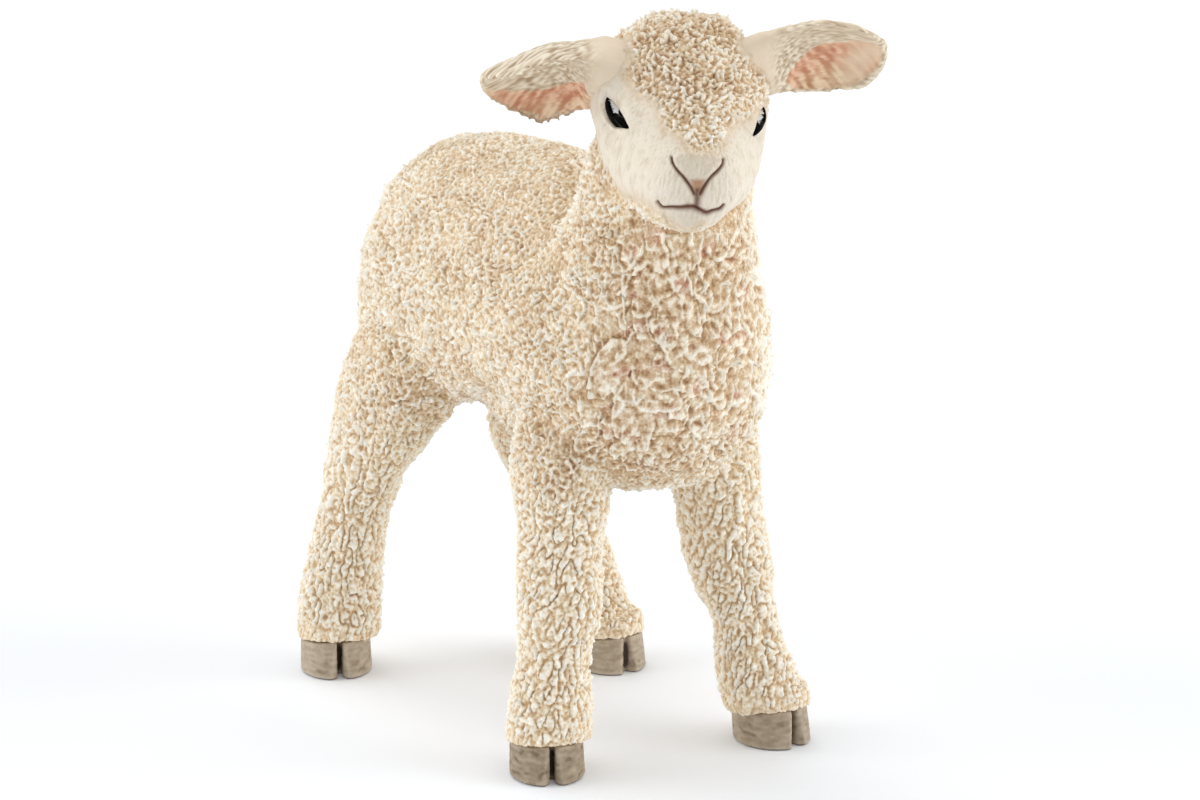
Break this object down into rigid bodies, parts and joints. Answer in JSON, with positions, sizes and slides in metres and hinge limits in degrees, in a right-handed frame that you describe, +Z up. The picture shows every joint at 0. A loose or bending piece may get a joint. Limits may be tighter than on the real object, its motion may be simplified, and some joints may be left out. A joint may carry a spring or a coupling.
{
  "type": "toy farm animal figure",
  "caption": "Standing toy lamb with a curly-fleeced trunk, head turned to its right, cupped ears, straight legs and cloven hooves.",
  "frame": {"origin": "centre of the figure's footprint box, on the plane that its four hooves stand on", "axes": "+Z up, -Y towards the lamb's chest, +X towards the lamb's left side"},
  "size_m": [0.0216, 0.0412, 0.0463],
  "materials": {
    "wool": "moulded soft plastic, cream paint with an ochre wash in the hollows of the curls, matt",
    "face": "moulded soft plastic, ivory paint with brown nose and mouth lines, matt",
    "ear": "moulded soft plastic, ivory outside and salmon pink wash inside, matt",
    "hoof": "moulded soft plastic, grey-brown paint, darker in the cleft, satin",
    "eye": "glossy black paint"
  },
  "bodies": {
    "root": {"torso": "wool", "head": "face", "right_ear": "ear", "left_ear": "ear", "right_eye": "eye", "left_eye": "eye", "front_right_leg": "wool", "front_left_leg": "wool", "rear_right_leg": "wool", "rear_left_leg": "wool", "front_right_hoof": "hoof", "front_left_hoof": "hoof", "rear_right_hoof": "hoof", "rear_left_hoof": "hoof", "tail": "wool"}
  },
  "joints": []
}
